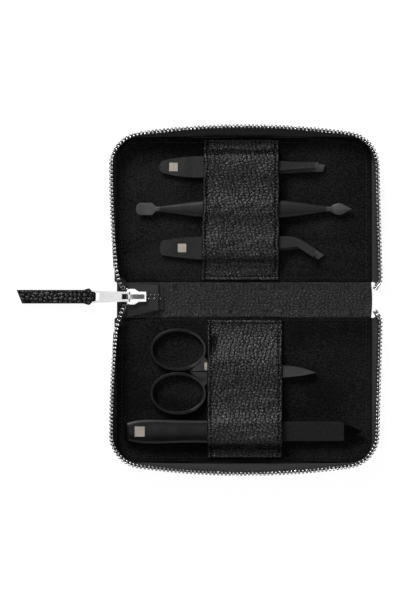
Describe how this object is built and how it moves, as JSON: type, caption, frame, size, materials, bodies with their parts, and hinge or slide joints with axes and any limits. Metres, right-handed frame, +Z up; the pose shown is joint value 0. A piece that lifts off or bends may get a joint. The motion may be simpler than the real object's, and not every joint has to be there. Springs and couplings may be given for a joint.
{
  "type": "manicure set case",
  "caption": "Zip-round leather manicure case lying open: two suede-lined halves on a spine, leather bands holding scissors, a file, tweezers and a cuticle pusher.",
  "frame": {"origin": "middle of the spine, on the flat underside that the open case lies on", "axes": "+X along the spine to the right, away from the slider; +Y across the spine to the upper half; +Z up out of the linings"},
  "size_m": [0.1975, 0.1894, 0.0132],
  "materials": {
    "cover_leather": "pebbled black leather, satin",
    "spine_leather": "pebbled black leather, satin, flattened by folding",
    "board": "raw stiffening board, hidden",
    "suede": "napped black suede, matte",
    "zipper_tape": "black woven tape, herringbone",
    "zipper_metal": "polished nickel plate",
    "slider_metal": "satin nickel plate",
    "band_leather": "pebbled black leather, satin",
    "tab_leather": "pebbled black leather, satin",
    "scissors_steel": "matte black coated steel, finely brushed blades",
    "handle_black": "matte black coat, soft sheen",
    "blade_steel": "black coated steel, smooth point",
    "abrasive": "fine black abrasive grit",
    "tweezers_steel": "matte black coated steel",
    "pusher_steel": "matte black coated steel, brushed ends",
    "inlay": "plain satin metal plate, no mark"
  },
  "bodies": {
    "lower_half": {"lower_cover": "cover_leather", "lower_board": "board", "lower_lining": "suede", "lower_zipper_tape": "zipper_tape", "lower_zipper_teeth": "zipper_metal", "lower_end_stop": "zipper_metal", "lower_band": "band_leather"},
    "spine": {"spine_cover": "cover_leather", "spine_board": "board", "spine_lining": "spine_leather", "zipper_end_tape": "zipper_tape", "joined_teeth": "zipper_metal", "upper_tape_turn": "zipper_tape", "upper_turn_teeth": "zipper_metal", "lower_tape_turn": "zipper_tape", "lower_turn_teeth": "zipper_metal"},
    "upper_half": {"upper_cover": "cover_leather", "upper_board": "board", "upper_lining": "suede", "upper_zipper_tape": "zipper_tape", "upper_zipper_teeth": "zipper_metal", "upper_end_stop": "zipper_metal", "upper_band": "band_leather"},
    "slider": {"slider_body": "slider_metal"},
    "puller": {"puller": "slider_metal"},
    "pull_tab": {"pull_tab": "tab_leather"},
    "scissors": {"scissors_lower_half": "scissors_steel", "scissors_screw": "scissors_steel"},
    "scissors_upper": {"scissors_upper_half": "scissors_steel", "scissors_inlay": "inlay"},
    "nail_file": {"file_handle": "handle_black", "file_blade": "blade_steel", "file_abrasive": "abrasive", "file_inlay": "inlay"},
    "slant_tweezers": {"slant_tweezers_lower_arm": "tweezers_steel"},
    "slant_tweezers_arm": {"slant_tweezers_upper_arm": "tweezers_steel", "slant_tweezers_inlay": "inlay"},
    "angled_tweezers": {"angled_tweezers_lower_arm": "tweezers_steel"},
    "angled_tweezers_arm": {"angled_tweezers_upper_arm": "tweezers_steel", "angled_tweezers_inlay": "inlay"},
    "pusher": {"cuticle_pusher": "pusher_steel"}
  },
  "joints": [
    {"name": "spine_fold", "type": "hinge", "parent": "lower_half", "child": "spine", "pos_m": [0, -0.0097, 0.0036], "axis": [1, 0, 0], "range_deg": [0, 90], "deforming": ["lower_tape_turn", "lower_turn_teeth"]},
    {"name": "upper_fold", "type": "hinge", "parent": "spine", "child": "upper_half", "pos_m": [0, 0.0097, 0.0036], "axis": [1, 0, 0], "range_deg": [0, 90], "deforming": ["upper_tape_turn", "upper_turn_teeth"]},
    {"name": "slider_slide", "type": "slide", "parent": "spine", "child": "slider", "axis": [1, 0, 0], "range_m": [0, 0.004]},
    {"name": "puller_hinge", "type": "hinge", "parent": "slider", "child": "puller", "pos_m": [-0.0622, 0.0018, 0.0096], "axis": [0, -1, 0], "range_deg": [-155, 0]},
    {"name": "tab_hinge", "type": "hinge", "parent": "puller", "child": "pull_tab", "pos_m": [-0.08192, 0.0018, 0.00693], "axis": [0, -1, 0], "range_deg": [-45, 25]},
    {"name": "scissors_slide", "type": "slide", "parent": "lower_half", "child": "scissors", "axis": [1, 0, 0], "range_m": [-0.015, 0]},
    {"name": "scissors_pivot", "type": "hinge", "parent": "scissors", "child": "scissors_upper", "pos_m": [-0.0049, -0.0386, 0.00375], "axis": [0, 0, -1], "range_deg": [0, 6]},
    {"name": "file_slide", "type": "slide", "parent": "lower_half", "child": "nail_file", "axis": [1, 0, 0], "range_m": [-0.003, 0.0035]},
    {"name": "slant_tweezers_slide", "type": "slide", "parent": "upper_half", "child": "slant_tweezers", "axis": [1, 0, 0], "range_m": [-0.012, 0.014]},
    {"name": "slant_tweezers_pinch", "type": "hinge", "parent": "slant_tweezers", "child": "slant_tweezers_arm", "pos_m": [-0.0302, 0.0718, 0.00487], "axis": [0, 1, 0], "range_deg": [0, 2], "stiffness_Nm_per_rad": 0.4},
    {"name": "angled_tweezers_slide", "type": "slide", "parent": "upper_half", "child": "angled_tweezers", "axis": [1, 0, 0], "range_m": [-0.012, 0.014]},
    {"name": "angled_tweezers_pinch", "type": "hinge", "parent": "angled_tweezers", "child": "angled_tweezers_arm", "pos_m": [-0.0298, 0.0281, 0.00487], "axis": [0, 1, 0], "range_deg": [0, 2], "stiffness_Nm_per_rad": 0.4},
    {"name": "pusher_slide", "type": "slide", "parent": "upper_half", "child": "pusher", "axis": [1, 0, 0], "range_m": [-0.007, 0.007]}
  ],
  "couplings": [
    {"joint": "upper_fold", "follows": "spine_fold", "ratio": 1}
  ]
}
